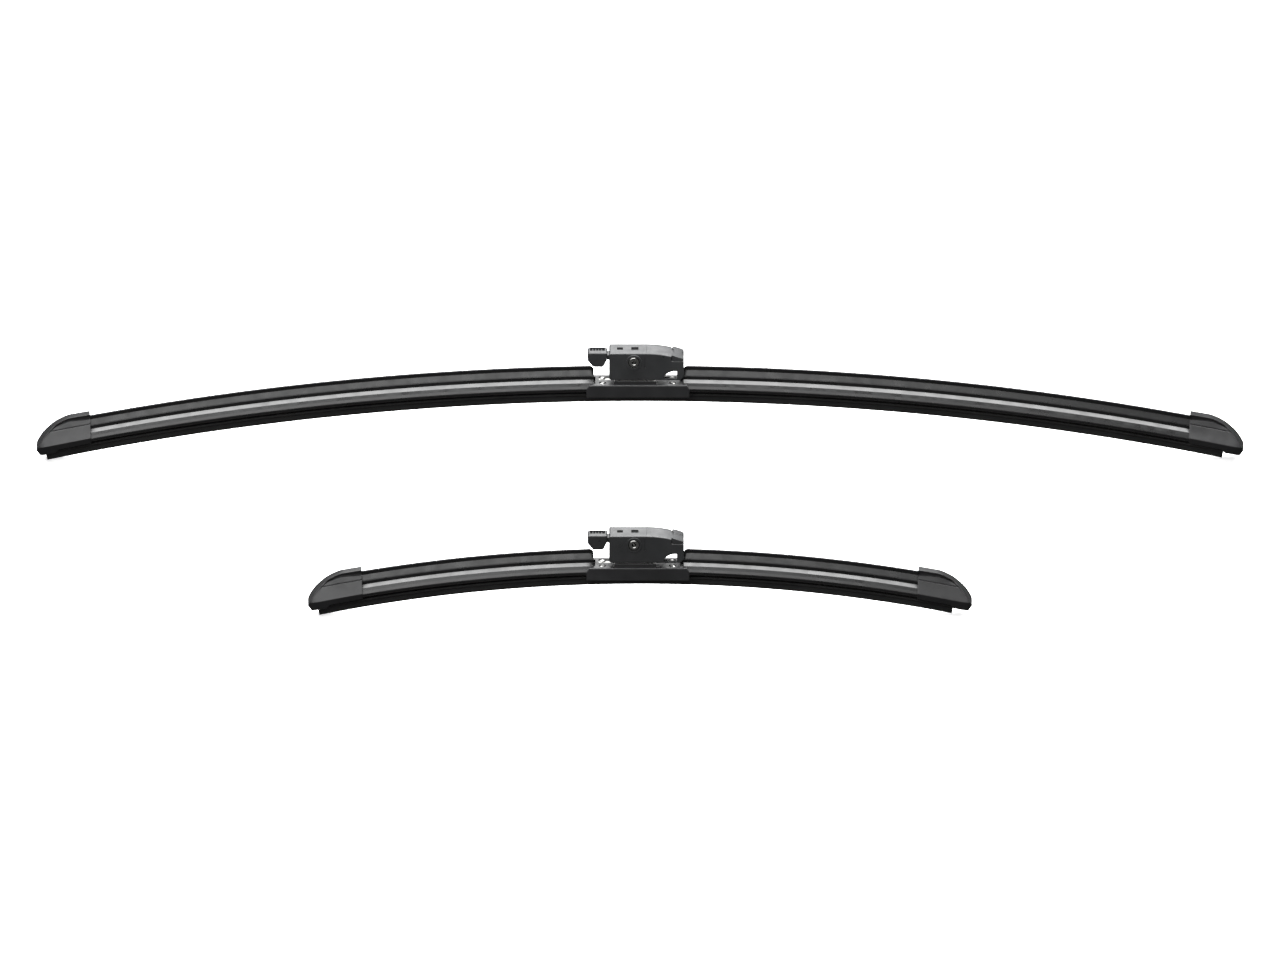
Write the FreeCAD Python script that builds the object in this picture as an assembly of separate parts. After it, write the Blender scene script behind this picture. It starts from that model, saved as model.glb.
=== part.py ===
"""Front windscreen wiper blade set: one long and one short beam blade, each with an arm adapter.

Units are mm. Each blade is built in its own frame: x = 0 at the middle of its base cover, z = 0 at the
mid-plane of its spring rails there, +Z away from the glass, +X along the blade. Curved pieces are swept
about an axis parallel to Y that lies one arc radius below. The finished pieces are then moved to the row
frame, whose origin is the middle of the long adapter's top seat.
"""
import math
import os

import FreeCAD
import Part

os.makedirs("parts", exist_ok=True)
V = FreeCAD.Vector

# ---- driving dimensions -------------------------------------------------------------------------
LONG = {"name": "long", "rubber": 649.0, "arc_radius": 1560.0, "rubber_shift": -3.0, "nose": 331.8}
SHORT = {"name": "short", "rubber": 351.0, "arc_radius": 866.0, "rubber_shift": -2.5, "nose": 182.6}
# nose: arc length from the middle to the outer end of an end cap
BLADE_SPACING_Y = 247.4        # short blade in front of the long one
BOW_X = 1.4                    # middle of the arc, from the middle of the base cover
CLEAR = 0.05                   # assembly gap between neighbouring pieces
RUN = 0.05                     # radial clearance of a turning pin

RAIL_IN, RAIL_OUT, RAIL_T = 1.0, 6.6, 0.9
RAIL_END = 7.0                 # rails stop this far short of the rubber's end
LIP_Z = -9.4                   # wiping edge

SPOILER_LEFT_X, SPOILER_RIGHT_X = 23.7, 24.9
FIN_TOP_Z = 11.1
FIN_END_R = 2.5

CAP_L, CAP_W, CAP_WALL = 30.2, 8.3, 0.9
CAP_LOW = -2.2
CAP_LEAN = 2.2                  # the inner edge leans over the spoiler at the top
CAP_TOP = [(0.0, 11.9), (6.0, 12.2), (11.0, 12.3), (18.0, 9.9), (24.5, 5.4), (28.7, 1.1), (30.2, -0.6)]

BASE_X, BASE_Y = 28.4, 8.8
BASE_BOTTOM, BASE_TOP = -4.5, 2.75
PLATE_X, PLATE_Z, PLATE_T = 23.0, 1.5, 0.7
WALL_X, WALL_Z = 12.6, 4.6     # low walls beside the pivot ears
EAR_IN, EAR_OUT = 5.2, 6.0
RIVET_X, RIVET_Y = 19.0, 4.35

PIVOT_X, PIVOT_Z = -1.9, 15.9
PIVOT_R, PIVOT_BORE_R, BUSH_R = 2.2, 1.0, 3.0

HOUSE_X0, HOUSE_X1 = -15.5, 25.4
HOUSE_Y, HOUSE_WALL = 8.0, 1.6
HOUSE_BOTTOM, HOUSE_TOP, ROOF_T = 5.5, 21.0, 1.8
ROOF_X1 = 4.8                  # flat seat ends here
SEAT_X = (HOUSE_X0 + 4.6) / 2
CROWN_R = 57.0                 # curve of the cover and the wall tops

COVER_PIN_X, COVER_PIN_Z, COVER_PIN_R, COVER_T = 6.9, 19.1, 0.9, 1.7
SEAM_R = 2.66                  # round back edge of the cover, which turns under the roof's end
BUTTON_PIN_X, BUTTON_PIN_Z, BUTTON_PIN_R = -12.5, 17.3, 0.8
PIN_END_Y = 7.3                # blind pin holes end here

X, Y, Z = V(1, 0, 0), V(0, 1, 0), V(0, 0, 1)


# ---- helpers ------------------------------------------------------------------------------------
def box(x0, x1, y0, y1, z0, z1):
    return Part.makeBox(x1 - x0, y1 - y0, z1 - z0, V(x0, y0, z0))


def rod_y(x, z, r, y0, y1):
    return Part.makeCylinder(r, y1 - y0, V(x, y0, z), Y)


def rod_z(x, y, r, z0, z1):
    return Part.makeCylinder(r, z1 - z0, V(x, y, z0), Z)


def prism_xz(points, y0, y1):
    wire = Part.makePolygon([V(x, y0, z) for x, z in points + points[:1]])
    return Part.Face(wire).extrude(V(0, y1 - y0, 0))


def prism_yz(points, x0, x1):
    wire = Part.makePolygon([V(x0, y, z) for y, z in points + points[:1]])
    return Part.Face(wire).extrude(V(x1 - x0, 0, 0))


def mirrored(points):
    """A full outline from its y >= 0 half, which runs top to bottom."""
    return points + [(-y, z) for y, z in reversed(points) if y > 0]


def fuse(first, *others):
    return first.multiFuse(list(others)).removeSplitter()


def sweep(points, blade, s0, s1):
    """A (y, z) outline swept along the blade's arc, from arc length s0 to s1 off its middle."""
    axis = V(BOW_X, 0, -blade["arc_radius"])
    wire = Part.makePolygon([V(BOW_X, y, z) for y, z in points + points[:1]])
    face = Part.Face(wire)
    a0, a1 = (math.degrees(s / blade["arc_radius"]) for s in (s0, s1))
    face.rotate(axis, Y, a0)
    return face.revolve(axis, Y, a1 - a0)


def crown_z(x, drop=0.0):
    """Height of the adapter's curved top at x, less a drop."""
    run = max(0.0, x - ROOF_X1)
    return HOUSE_TOP - (CROWN_R - math.sqrt(CROWN_R ** 2 - run ** 2)) - drop


def crown_points(x0, x1, drop=0.0, count=12):
    step = (x1 - x0) / count
    return [(x0 + i * step, crown_z(x0 + i * step, drop)) for i in range(count + 1)]


# ---- wiping element and its carriers ------------------------------------------------------------
def rail(blade, side):
    half = blade["rubber"] / 2 - RAIL_END
    ys = sorted((side * RAIL_IN, side * RAIL_OUT))
    t = RAIL_T / 2
    strip = sweep([(ys[0], -t), (ys[1], -t), (ys[1], t), (ys[0], t)], blade, -half, half)
    for x in (-RIVET_X, RIVET_X):
        strip = strip.cut(rod_z(x, side * RIVET_Y, 1.0 + CLEAR, -3, 3))
    return strip


def wiper_rubber(blade):
    half, shift = blade["rubber"] / 2, blade["rubber_shift"]
    outline = mirrored([
        (0.0, 1.45), (2.2, 1.45), (2.6, 1.15), (2.6, 0.5), (0.9, 0.5), (0.9, -0.5),
        (3.2, -0.5), (3.2, -1.9), (2.2, -3.2), (0.6, -3.2), (0.6, -4.0), (2.3, -4.0),
        (2.6, -4.3), (2.6, -5.1), (1.1, -5.9), (0.45, LIP_Z + 0.3), (0.3, LIP_Z)])
    return sweep(outline, blade, shift - half, shift + half)


def spoiler_outline(grow=0.0):
    g = grow
    return [
        (-6.2 - g, -1.6 - g), (-7.3 - g, -0.4), (-7.5 - g, 0.2), (-7.2 - g, 1.2 + g), (-6.5 - g, 2.2 + g),
        (-5.4 - g, 3.1 + g), (-4.3 - g, 3.7 + g), (-3.9 - g, 3.6 + g), (-3.7 - g, 3.2 + g), (-3.1 - g, 3.3 + g),
        (-3.0 - g, 4.3 + g), (-2.1 - g, 5.1), (-1.2 - g, 6.5), (-0.7 - g, 8.0), (-0.5 - g, 9.2),
        (-0.4 - g, FIN_TOP_Z - 0.7), (0.2, FIN_TOP_Z - 0.1 + g), (0.9, FIN_TOP_Z + g),
        (1.6 + g, FIN_TOP_Z - 0.3 + g), (2.0 + g, 9.6), (2.6 + g, 6.6), (4.3 + g, 3.7 + g), (6.5 + g, 2.2 + g),
        (7.2 + g, 1.2 + g), (7.5 + g, 0.2), (7.3 + g, -0.4), (6.2 + g, -1.6 - g)]


def spoiler(blade, side):
    start = SPOILER_LEFT_X if side < 0 else SPOILER_RIGHT_X
    end = blade["nose"] - CAP_L + 8.0
    span = sorted((side * start - BOW_X, side * end))
    body = sweep(spoiler_outline(), blade, *span)
    channel = mirrored([
        (0.0, 2.0), (3.2, 2.0), (3.2, 0.5), (6.7, 0.5), (6.7, -0.55), (5.2, -0.55), (5.2, -3.0)])
    body = body.cut(sweep(channel, blade, span[0] - 2 * 1.0, span[1] + 2 * 1.0))
    # round off the fin's inner top corner
    r = FIN_END_R
    x, z = side * start, FIN_TOP_Z - start ** 2 / 2 / blade["arc_radius"]
    corner = box(min(x - side * 1, x + side * r), max(x - side * 1, x + side * r), -9, 9, z - r, z + 2)
    return body.cut(corner.cut(rod_y(x + side * r, z - r, r, -9, 9)))


def smooth(points, steps=4):
    """More points along a soft curve through the given ones."""
    out = []
    for i in range(len(points) - 1):
        p0, p1, p2, p3 = (points[max(0, min(len(points) - 1, i + k))] for k in (-1, 0, 1, 2))
        for j in range(steps):
            t = j / steps
            out.append(tuple(0.5 * (2 * b + (c - a) * t + (2 * a - 5 * b + 4 * c - d) * t ** 2
                                    + (3 * b - a - 3 * c + d) * t ** 3)
                             for a, b, c, d in zip(p0, p1, p2, p3)))
    return out + [points[-1]]


def end_cap(blade, side):
    """Built on the +X end with u = 0 at its inner edge, then placed on the arc and mirrored."""
    def shell(t):
        """The cap's outer form, moved in by a wall thickness t."""
        w, u1, low = CAP_W - t, CAP_L - t, CAP_LOW + t
        top = [(u if t == 0 else u * u1 / CAP_L, z - 1.15 * t) for u, z in smooth(CAP_TOP)]
        lean = CAP_LEAN if t == 0 else 4.0
        side_view = [(-lean, top[0][1])] + top[1:] + [(u1 - 1.6, low - 1.6), (u1 - 4.4, low - 1.6), (u1 - 7.4, low),
                                                      (0.0 if t == 0 else -4.0, low)]
        body = prism_xz(side_view, -w, w)
        section = [(-w, -9.0), (-w, 1.2 - 0.4 * t), (-3.9 + 1.0 * t, 6.8), (-1.1 + 0.9 * t, 11.8 - t),
                   (-0.4 + 0.6 * t, 12.5), (3.2 - 0.6 * t, 12.5), (4.0 - 0.9 * t, 11.5 - t), (w, 1.4 - 0.4 * t),
                   (w, -9.0)]
        body = body.common(prism_yz(section, -4, CAP_L + 1))
        r = 6.0 - t
        plan = [(-4.0, -w), (u1 - r, -w)]
        plan += [(u1 - r + r * math.sin(a), -w + 0.5 * r * (1 - math.cos(a))) for a in
                 (math.pi / 2 * i / 8 for i in range(1, 9))]
        plan += [(x, -y) for x, y in reversed(plan)]
        wire = Part.makePolygon([V(x, y, -9) for x, y in plan + plan[:1]])
        return body.common(Part.Face(wire).extrude(V(0, 0, 24)))

    past = blade["nose"] - blade["rubber"] / 2 - side * blade["rubber_shift"]
    cap = shell(0.0).cut(shell(CAP_WALL).common(box(-4, CAP_L, -9, 9, -1.2, 20)))
    cap = cap.cut(prism_yz(spoiler_outline(0.22), -4, 8.6))
    cap = cap.cut(box(-1, CAP_L - past + 0.6, -3.5, 3.5, -9, 0))
    mid = CAP_L / 2
    cap.translate(V(BOW_X - mid, 0, 0))
    cap.rotate(V(BOW_X, 0, -blade["arc_radius"]), Y, math.degrees((blade["nose"] - mid) / blade["arc_radius"]))
    return cap if side > 0 else cap.mirror(V(BOW_X, 0, 0), X)


# ---- centre of the blade ------------------------------------------------------------------------
def base_cover(blade):
    """Cover clipped round the holder: decks at both ends, an open middle with low walls for the ears."""
    block = prism_xz([(-BASE_X + 0.6, BASE_BOTTOM), (BASE_X - 0.2, BASE_BOTTOM), (BASE_X, 0.4),
                      (BASE_X - 1.6, BASE_TOP), (-BASE_X + 2.2, BASE_TOP), (-BASE_X + 0.6, 0.4)],
                     -BASE_Y, BASE_Y)
    for side in (-1, 1):
        block = block.fuse(box(-WALL_X, WALL_X - 2.4, *sorted((side * 6.25, side * 7.1)), BASE_TOP - 0.4, WALL_Z))
    x, under = PLATE_X + 0.3, PLATE_Z + PLATE_T + CLEAR
    block = block.cut(box(-x, x, -7.6, 7.6, -3.4, under)).cut(box(-x, x, -5.0, 5.0, -9, under))
    block = block.cut(box(-WALL_X, WALL_X - 2.4, -6.25, 6.25, 0, 9)).cut(box(2.1 - x, x - 2.1, 0.2, 5.9, 0, 9))
    for rx in (-RIVET_X, RIVET_X):
        for ry in (-RIVET_Y, RIVET_Y):
            block = block.cut(rod_z(rx, ry, 1.95, 0, 9))
    ends = spoiler_outline(0.15)
    for x0, x1 in ((-BASE_X - 1, -x + 0.4), (x - 0.4, BASE_X + 1)):
        block = block.cut(sweep(ends, blade, x0 - BOW_X, x1 - BOW_X))
        block = block.cut(box(x0, x1, -5.0, 5.0, -9, 2)).cut(box(x0, x1, -7.65, 7.65, -2.4, 0.6))
    return block


def holder(blade):
    """Bent sheet: plate over the rails, two pivot ears and four claws round the rails."""
    z0, z1 = PLATE_Z, PLATE_Z + PLATE_T
    sheet = box(-PLATE_X, PLATE_X, -EAR_OUT, EAR_OUT, z0, z1)
    pieces = []
    for side in (-1, 1):
        ys = sorted((side * EAR_IN, side * EAR_OUT))
        ear = prism_xz([(-12.5, z0), (8.5, z0), (8.5, 4.2), (PIVOT_X + BUSH_R, PIVOT_Z),
                        (PIVOT_X - BUSH_R, PIVOT_Z), (-12.5, 4.2)], *ys)
        pieces += [ear, rod_y(PIVOT_X, PIVOT_Z, BUSH_R, *ys)]
        for x0, x1 in ((-21.5, -11.5), (11.5, 21.5)):
            arm = sorted((side * (EAR_OUT - 1), side * 7.5))
            wall = sorted((side * 6.75, side * 7.5))
            foot = sorted((side * 5.4, side * 7.5))
            pieces += [box(x0, x1, *arm, z0, z1), box(x0, x1, *wall, -1.55, z1),
                       box(x0, x1, *foot, -1.55, -0.8)]
    body = fuse(sheet, *pieces)
    body = body.cut(rod_y(PIVOT_X, PIVOT_Z, PIVOT_R + RUN, -9, 9))
    body = body.cut(box(-9.5, 5.5, -3.6, 3.6, 0, 4))
    for x in (-RIVET_X, RIVET_X):
        for y in (-RIVET_Y, RIVET_Y):
            body = body.cut(rod_z(x, y, 1.0 + CLEAR, 0, 4))
    return body


def holder_rivet(x, y):
    shank = rod_z(x, y, 1.0, -0.5, PLATE_Z + PLATE_T + 0.2)
    collar = rod_z(x, y, 1.5, 0.5, PLATE_Z - CLEAR)
    dome = Part.makeSphere(2.2, V(x, y, PLATE_Z + PLATE_T + CLEAR - 1.4))
    dome = dome.common(rod_z(x, y, 3, PLATE_Z + PLATE_T + CLEAR, PLATE_Z + 4))
    return fuse(shank, collar, dome)


def pivot_rivet():
    """Tubular rivet, flared at both ends into the bosses of the adapter."""
    y = HOUSE_Y + 0.35
    tube = rod_y(PIVOT_X, PIVOT_Z, PIVOT_R, -y, y)
    flares = []
    for side in (-1, 1):
        flares.append(rod_y(PIVOT_X, PIVOT_Z, 3.1, *sorted((side * (y - 0.6), side * y))))
    return fuse(tube, *flares).cut(rod_y(PIVOT_X, PIVOT_Z, PIVOT_BORE_R, -9, 9))


def pivot_bush():
    y = EAR_IN - CLEAR
    return rod_y(PIVOT_X, PIVOT_Z, BUSH_R, -y, y).cut(
        rod_y(PIVOT_X, PIVOT_Z, PIVOT_R + CLEAR, -9, 9))


# ---- adapter ------------------------------------------------------------------------------------
def adapter_housing():
    x0, x1, zb = HOUSE_X0, HOUSE_X1, HOUSE_BOTTOM
    side_view = [(x0, zb + 1.0), (x0 + 1.0, zb), (x1 - 2.0, zb), (x1, zb + 2.0),
                 (x1, crown_z(18.6, 2.7)), (18.6, crown_z(18.6, 2.7))]
    side_view += list(reversed(crown_points(ROOF_X1, 18.6)))
    side_view += [(x0 + 0.6, HOUSE_TOP), (x0, HOUSE_TOP - 0.6)]
    body = prism_xz(side_view, -HOUSE_Y, HOUSE_Y)
    yi = HOUSE_Y - HOUSE_WALL
    body = body.cut(box(x0 + 1.5, x1 + 1, -yi, yi, 0, HOUSE_TOP - ROOF_T))
    body = body.cut(box(COVER_PIN_X, x1 + 1, -yi, yi, 0, HOUSE_TOP + 1))
    body = body.cut(rod_y(COVER_PIN_X, COVER_PIN_Z, SEAM_R + 0.12, -yi, yi))
    body = body.cut(box(x0 - 1, x0 + 2, -3.9, 3.9, 13.9, HOUSE_TOP - ROOF_T))
    # bosses round the pivot, with a counterbore for the rivet's flare
    for side in (-1, 1):
        ys = sorted((side * (HOUSE_Y - 0.5), side * (HOUSE_Y + 0.5)))
        body = fuse(body, rod_y(PIVOT_X, PIVOT_Z, 4.3, *ys))
        cb = sorted((side * (HOUSE_Y - 0.3), side * (HOUSE_Y + 2)))
        body = body.cut(rod_y(PIVOT_X, PIVOT_Z, 3.1 + 0.12, *cb))
    body = body.cut(rod_y(PIVOT_X, PIVOT_Z, PIVOT_R + RUN, -9, 9))
    # pin seats, blind from inside
    body = body.cut(rod_y(COVER_PIN_X, COVER_PIN_Z, COVER_PIN_R + 0.01, -PIN_END_Y, PIN_END_Y))
    body = body.cut(rod_y(BUTTON_PIN_X, BUTTON_PIN_Z, BUTTON_PIN_R + 0.01, -PIN_END_Y, PIN_END_Y))
    # quarter-round windows low in both walls
    window = [(14.5, 6.5)] + [(21.5 - 7.0 * math.cos(t), 6.5 + 4.4 * math.sin(t)) for t in
                              (math.pi / 2 * i / 8 for i in range(1, 9))] + [(21.5, 6.5)]
    body = body.cut(prism_xz(window, -9, 9))
    # side grooves and roof pockets
    for side in (-1, 1):
        ys = sorted((side * (HOUSE_Y - 0.45), side * (HOUSE_Y + 1)))
        body = body.cut(box(3.7, 4.5, *ys, 12.6, 19.4))
    body = body.cut(box(-11.1, -7.9, -2.0, 2.0, HOUSE_TOP - 1.1, HOUSE_TOP + 1))
    body = body.cut(box(-3.4, 0.6, -2.5, 2.5, HOUSE_TOP - 1.1, HOUSE_TOP + 1))
    return body


def lock_cover():
    """Curved flap between the walls, with a dog-bone grip across its free end."""
    yi = HOUSE_Y - HOUSE_WALL - 0.15
    flap = prism_xz(crown_points(COVER_PIN_X, 25.2) +
                    list(reversed(crown_points(COVER_PIN_X, 25.2, COVER_T))), -yi, yi)
    knuckle = rod_y(COVER_PIN_X, COVER_PIN_Z, SEAM_R, -yi, yi).common(
        box(0, COVER_PIN_X + SEAM_R, -9, 9, 0, HOUSE_TOP))
    knuckle = knuckle.cut(box(COVER_PIN_X, COVER_PIN_X + 9, -9, 9, COVER_PIN_Z + 0.5, 30))
    plan = [(18.9, -HOUSE_Y), (25.4, -HOUSE_Y), (25.4, -4.6), (24.5, -3.2), (24.5, 3.2), (25.4, 4.6),
            (25.4, HOUSE_Y), (18.9, HOUSE_Y), (18.9, 4.6), (19.8, 3.2), (19.8, -3.2), (18.9, -4.6)]
    wire = Part.makePolygon([V(x, y, 10) for x, y in plan + plan[:1]])
    grip = Part.Face(wire).extrude(V(0, 0, 14)).common(prism_xz(
        crown_points(18.7, 25.6, -0.55) + [(25.6, crown_z(18.6, 2.6)), (18.7, crown_z(18.6, 2.6))], -9, 9))
    body = fuse(flap, knuckle, grip)
    body = body.cut(rod_y(COVER_PIN_X, COVER_PIN_Z, COVER_PIN_R + RUN, -9, 9))
    # stiffening ribs under the flap
    ribs = [prism_xz([(9.6, crown_z(9.6, 1.2)), (18.4, crown_z(18.4, 1.2)), (18.4, 15.0), (12.0, 16.6)],
                     y - 0.5, y + 0.5) for y in (-3.6, 3.6)]
    return fuse(body, *ribs)


def lock_button():
    """Press button with a recessed top, on a lever that reaches its hinge pin inside the housing."""
    lug = prism_xz([(-27.2, 15.6), (-27.2, 19.2), (-26.2, 20.2), (-17.0, 20.2), (-16.4, 19.6), (-16.4, 16.6),
                    (-18.6, 11.9), (-24.2, 11.9)], -4.8, 4.8)
    lug = lug.cut(box(-25.9, -17.7, -1.4, 3.8, 18.7, 21))
    grips = [box(x, x + 0.7, -1.8, 4.2, 18.3, 19.5) for x in (-24.7, -23.1, -21.5, -19.9)]
    neck = box(-17.5, BUTTON_PIN_X, -3.4, 3.4, 15.7, 18.7)
    hub = rod_y(BUTTON_PIN_X, BUTTON_PIN_Z, 1.6, -3.4, 3.4)
    tail = prism_xz([(-13.2, 16.0), (-11.4, 16.6), (-10.6, 12.4), (-12.0, 11.6)], -3.4, 3.4)
    lever = fuse(lug, neck, hub, tail, *grips)
    return lever.cut(rod_y(BUTTON_PIN_X, BUTTON_PIN_Z, BUTTON_PIN_R + RUN, -9, 9))


def blade_nodes(blade):
    nodes = {
        "rail_front": rail(blade, -1),
        "rail_rear": rail(blade, 1),
        "wiper_rubber": wiper_rubber(blade),
        "spoiler_left": spoiler(blade, -1),
        "spoiler_right": spoiler(blade, 1),
        "end_cap_left": end_cap(blade, -1),
        "end_cap_right": end_cap(blade, 1),
        "base_cover": base_cover(blade),
        "holder": holder(blade),
        "rivet_front_left": holder_rivet(-RIVET_X, -RIVET_Y),
        "rivet_front_right": holder_rivet(RIVET_X, -RIVET_Y),
        "rivet_rear_left": holder_rivet(-RIVET_X, RIVET_Y),
        "rivet_rear_right": holder_rivet(RIVET_X, RIVET_Y),
        "pivot_rivet": pivot_rivet(),
        "pivot_bush": pivot_bush(),
        "adapter_housing": adapter_housing(),
        "lock_cover": lock_cover(),
        "cover_pin": rod_y(COVER_PIN_X, COVER_PIN_Z, COVER_PIN_R, -PIN_END_Y + CLEAR, PIN_END_Y - CLEAR),
        "lock_button": lock_button(),
        "button_pin": rod_y(BUTTON_PIN_X, BUTTON_PIN_Z, BUTTON_PIN_R, -PIN_END_Y + CLEAR, PIN_END_Y - CLEAR),
    }
    return nodes


def lip_end_depth(blade):
    """How far the wiping edge's ends lie below the rail mid-plane at the middle."""
    angle = (blade["rubber"] / 2 + abs(blade["rubber_shift"])) / blade["arc_radius"]
    return blade["arc_radius"] - (blade["arc_radius"] + LIP_Z) * math.cos(angle)


for blade in (LONG, SHORT):
    move = V(-SEAT_X, 0, -HOUSE_TOP)
    if blade is SHORT:
        move += V(0, -BLADE_SPACING_Y, lip_end_depth(SHORT) - lip_end_depth(LONG))
    for name, shape in blade_nodes(blade).items():
        solids = shape.Solids
        assert len(solids) == 1 and shape.isValid(), (blade["name"], name, len(solids))
        piece = solids[0].copy()
        piece.translate(move)
        piece.exportStep("parts/%s_%s.step" % (blade["name"], name))
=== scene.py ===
"""Two beam wiper blades with arm adapters, on a pale floor in soft studio light.

Lengths below are mm. Each blade is built in its own frame: x = 0 at the middle of its base cover, z = 0 at
the mid-plane of its spring rails there, +Z away from the glass. finish_piece() moves each piece from there
to the part's frame, in metres.
"""
import math

import bmesh
import bpy
from mathutils import Matrix, Vector


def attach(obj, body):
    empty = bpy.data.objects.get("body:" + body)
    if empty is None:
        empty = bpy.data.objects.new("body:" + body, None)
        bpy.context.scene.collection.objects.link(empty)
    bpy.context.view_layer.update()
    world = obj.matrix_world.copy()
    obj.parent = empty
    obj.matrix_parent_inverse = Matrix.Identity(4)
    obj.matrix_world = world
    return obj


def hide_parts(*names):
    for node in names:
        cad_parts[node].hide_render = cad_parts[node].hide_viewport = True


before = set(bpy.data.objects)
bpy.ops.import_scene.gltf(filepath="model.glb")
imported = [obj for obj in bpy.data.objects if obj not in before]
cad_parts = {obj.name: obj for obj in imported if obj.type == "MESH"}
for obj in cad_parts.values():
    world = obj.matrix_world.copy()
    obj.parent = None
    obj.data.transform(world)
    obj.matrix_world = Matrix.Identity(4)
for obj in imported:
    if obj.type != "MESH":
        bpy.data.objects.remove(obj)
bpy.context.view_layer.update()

# ---- dimensions ---------------------------------------------------------------------------------
BOW_X = 1.4                     # top of the rails' bow
SEAT_X, TOP_Z = -5.45, 21.0     # middle of the arm's seat, on the adapter's roof
PIVOT = (-1.9, 15.9)            # (x, z) of the blade's pivot and of the two pins
COVER_PIN = (6.9, 19.1)
BUTTON_PIN = (-12.5, 17.3)
COVER_PIN_R, BUTTON_PIN_R = 0.9, 0.8
PIVOT_R = 2.25                  # bore for the pivot
ROOF_X1, CROWN_R = 4.8, 57.0    # the roof is flat up to here, then falls on this radius
HOUSE_X0, HOUSE_X1, HOUSE_Y, WALL = -15.5, 25.4, 8.0, 1.6
SEAM_R = 2.66                   # the flap's knuckle
GRIP_X = 18.6                   # inner edge of the flap's grip
LIP_Z, FIN_TOP_Z = -9.4, 11.5
CAP_L, CAP_W, CAP_LOW = 30.2, 8.3, -2.2
CAP_TOP = [(0.0, 12.4), (6.0, 12.6), (11.0, 12.4), (18.0, 9.9), (24.5, 5.4), (28.7, 1.1), (30.2, -0.7)]
LIP, BAND = 0.45, 2.5           # lip of a cap's top, and depth of the recess under it
BASE_X, BASE_Y = 28.4, 8.8
BASE_UNDER = 2.25               # underside of the base cover's roof, and the foot of the rivets' heads
RIVET_X, RIVET_Y = 19.0, 4.35
EARS_X = (-12.6, 10.2)          # opening in the base cover for the holder's ears


class Blade:
    """One blade: its rubber's length and shift, bow radius, arc length to the caps' noses, and place."""

    def __init__(self, name, rubber, radius, shift, nose, y):
        self.name, self.half, self.r, self.shift, self.nose = name, rubber / 2, radius, shift, nose
        self.y, self.z = y, 0.0

    def node(self, n):
        return self.name + "_" + n

    def on_arc(self, s, y, z):
        """A point at arc length s, at height z over the rail mid-plane."""
        a = s / self.r
        return (BOW_X + (self.r + z) * math.sin(a), y, (self.r + z) * math.cos(a) - self.r)

    def lip_depth(self):
        """How far the rubber's further end hangs below the rails' mid-plane at x = 0."""
        return self.r - (self.r + LIP_Z) * math.cos((self.half - self.shift) / self.r)


LONG = Blade("long", 649.0, 1560.0, -3.0, 331.8, 0.0)
SHORT = Blade("short", 351.0, 866.0, -2.5, 182.6, -247.4)
SHORT.z = SHORT.lip_depth() - LONG.lip_depth()  # both lips stand on one floor


# ---- outline tools ------------------------------------------------------------------------------
def fillet(points, default=0.3, radii=None, seg=5):
    """A closed outline with its corners rounded. radii gives other radii by corner number."""
    out, n = [], len(points)
    for i, p in enumerate(points):
        r = (radii or {}).get(i, default)
        p, a, b = Vector(p), Vector(points[i - 1]), Vector(points[(i + 1) % n])
        u, v = (a - p), (b - p)
        lu, lv = u.length, v.length
        u.normalize()
        v.normalize()
        angle = u.angle(v)
        if r <= 0 or angle > math.radians(176):
            out.append(tuple(p))
            continue
        t = min(r / math.tan(angle / 2), 0.46 * lu, 0.46 * lv)
        k = max(2, int(round(seg * (math.pi - angle) / (math.pi / 2))))
        p0, p1 = p + u * t, p + v * t
        rr = t * math.tan(angle / 2)
        centre = p + (u + v).normalized() * (rr / math.sin(angle / 2))
        d0, d1 = p0 - centre, p1 - centre
        sweep = math.pi - angle
        sign = 1 if d0.x * d1.y - d0.y * d1.x > 0 else -1
        for j in range(k + 1):
            c, s = math.cos(sign * sweep * j / k), math.sin(sign * sweep * j / k)
            out.append((centre.x + d0.x * c - d0.y * s, centre.y + d0.x * s + d0.y * c))
    return out


def dense(points, step):
    """The same closed outline with its long sides divided."""
    out, n = [], len(points)
    for i, p in enumerate(points):
        q = points[(i + 1) % n]
        d = math.dist(p, q)
        k = max(1, int(math.ceil(d / step)))
        out += [(p[0] + (q[0] - p[0]) * j / k, p[1] + (q[1] - p[1]) * j / k) for j in range(k)]
    return out


def area(points):
    return sum(a[0] * b[1] - b[0] * a[1] for a, b in zip(points, points[1:] + points[:1])) / 2


def inset(points, d):
    """The outline moved inwards by d, with the same number of points."""
    if d == 0:
        return list(points)
    turn = 1 if area(points) > 0 else -1
    out, n = [], len(points)
    for i in range(n):
        a, p, b = Vector(points[i - 1]), Vector(points[i]), Vector(points[(i + 1) % n])
        e0, e1 = (p - a), (b - p)
        if e0.length < 1e-9 or e1.length < 1e-9:
            out.append(tuple(p))
            continue
        e0.normalize()
        e1.normalize()
        n0, n1 = Vector((-e0.y, e0.x)) * turn, Vector((-e1.y, e1.x)) * turn
        m = (n0 + n1)
        m = m.normalized() / max(0.5, m.length / 2) if m.length > 1e-6 else n0
        out.append(tuple(p + m * d))
    return out


def mirrored(points):
    return points + [(-y, z) for y, z in reversed(points) if y > 0]


# ---- mesh tools ---------------------------------------------------------------------------------
def make(name, verts, faces):
    mesh = bpy.data.meshes.new(name)
    mesh.from_pydata([tuple(v) for v in verts], [], faces)
    mesh.validate()
    mesh.update()
    obj = bpy.data.objects.new(name, mesh)
    bpy.context.collection.objects.link(obj)
    return obj


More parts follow.
